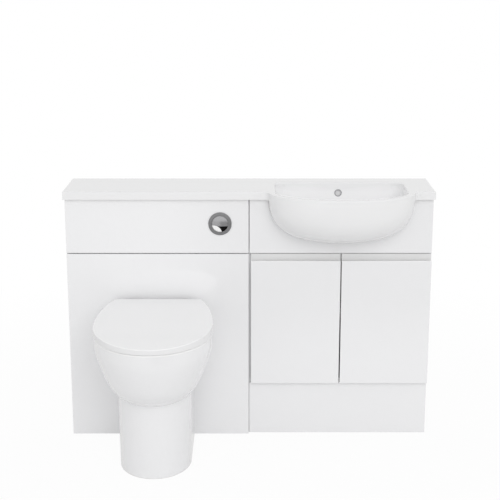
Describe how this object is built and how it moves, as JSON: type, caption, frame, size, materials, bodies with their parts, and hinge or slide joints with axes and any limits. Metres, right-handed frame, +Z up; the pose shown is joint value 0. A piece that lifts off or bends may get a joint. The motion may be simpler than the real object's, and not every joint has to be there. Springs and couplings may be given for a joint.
{
  "type": "combination vanity unit",
  "caption": "Combination bathroom unit: back-to-wall toilet with concealed cistern beside a cupboard, under one cast top with a semi-recessed basin.",
  "frame": {"origin": "on the floor, in the middle of the whole unit's width and depth", "axes": "+X to the right of someone facing the front, +Y to the wall behind, +Z up"},
  "size_m": [1.21, 0.681, 0.844],
  "materials": {
    "cast_top": "high gloss white",
    "gloss_board": "high gloss white",
    "carcass_board": "matt white",
    "ceramic": "glazed white",
    "seat_plastic": "gloss white",
    "chrome": "polished",
    "white_plastic": "satin",
    "steel": "zinc plated",
    "grey_rubber": "matt"
  },
  "bodies": {
    "frame": {"button_housing": "chrome", "button_nut": "white_plastic", "cast_top": "cast_top", "cistern_cover": "white_plastic", "cistern_tank": "white_plastic", "connecting_bolts": "steel", "door_buffers": "grey_rubber", "fascia": "gloss_board", "fill_nut": "white_plastic", "fill_valve": "white_plastic", "flush_nut": "white_plastic", "flush_pipe": "white_plastic", "flush_seal": "grey_rubber", "flush_valve_basket": "white_plastic", "hinge_arms": "steel", "hinge_plates": "steel", "overflow_ring": "chrome", "pan": "ceramic", "plinth": "gloss_board", "seat_fixing_bolts": "steel", "seat_hinge_pins": "steel", "seat_hinge_posts": "chrome", "shelf": "carcass_board", "shelf_pegs": "steel", "trap_body": "white_plastic", "trap_cup": "white_plastic", "trap_inlet": "white_plastic", "trap_outlet": "white_plastic", "vanity_base": "carcass_board", "vanity_bottom_rail": "carcass_board", "vanity_front_rail": "carcass_board", "vanity_side_left": "gloss_board", "vanity_side_right": "gloss_board", "vanity_top_rail": "carcass_board", "waste_body": "chrome", "waste_nut": "white_plastic", "wc_bottom_rail": "carcass_board", "wc_front_rail": "carcass_board", "wc_lower_panel": "gloss_board", "wc_mid_rail": "carcass_board", "wc_side_left": "gloss_board", "wc_side_right": "gloss_board", "wc_top_rail": "carcass_board", "wc_upper_panel": "gloss_board", "worktop_brackets": "steel"},
    "left_door": {"left_door": "gloss_board", "left_hinge_cups": "steel", "left_hinge_pins": "steel"},
    "right_door": {"right_door": "gloss_board", "right_hinge_cups": "steel", "right_hinge_pins": "steel"},
    "seat": {"seat": "seat_plastic", "seat_buffers": "grey_rubber"},
    "lid": {"lid": "seat_plastic", "lid_buffers": "grey_rubber"},
    "full_flush": {"full_flush_button": "chrome"},
    "half_flush": {"half_flush_button": "chrome"},
    "waste_plug": {"waste_plug": "chrome"},
    "float": {"float_cup": "white_plastic"},
    "flush_lift": {"flush_lift_tube": "white_plastic"}
  },
  "joints": [
    {"name": "left_door_hinge", "type": "hinge", "parent": "frame", "child": "left_door", "pos_m": [0.0154, 0.1216, 0.41], "axis": [0, 0, -1], "range_deg": [0, 95]},
    {"name": "right_door_hinge", "type": "hinge", "parent": "frame", "child": "right_door", "pos_m": [0.5906, 0.1216, 0.41], "axis": [0, 0, 1], "range_deg": [0, 95]},
    {"name": "seat_hinge", "type": "hinge", "parent": "frame", "child": "seat", "pos_m": [-0.3, 0.0805, 0.465], "axis": [1, 0, 0], "range_deg": [-93, 0]},
    {"name": "lid_hinge", "type": "hinge", "parent": "seat", "child": "lid", "pos_m": [-0.3, 0.0805, 0.465], "axis": [-1, 0, 0], "range_deg": [0, 93]},
    {"name": "full_flush_push", "type": "slide", "parent": "frame", "child": "full_flush", "axis": [0, 1, 0], "range_m": [0, 0.005], "stiffness_N_per_m": 500, "springref_m": -0.004},
    {"name": "half_flush_push", "type": "slide", "parent": "frame", "child": "half_flush", "axis": [0, 1, 0], "range_m": [0, 0.005], "stiffness_N_per_m": 400, "springref_m": -0.004},
    {"name": "waste_plug_lift", "type": "slide", "parent": "frame", "child": "waste_plug", "axis": [0, 0, 1], "range_m": [0, 0.008]},
    {"name": "float_rise", "type": "slide", "parent": "frame", "child": "float", "axis": [0, 0, 1], "range_m": [0, 0.04]},
    {"name": "flush_lift", "type": "slide", "parent": "frame", "child": "flush_lift", "axis": [0, 0, 1], "range_m": [0, 0.014]}
  ]
}
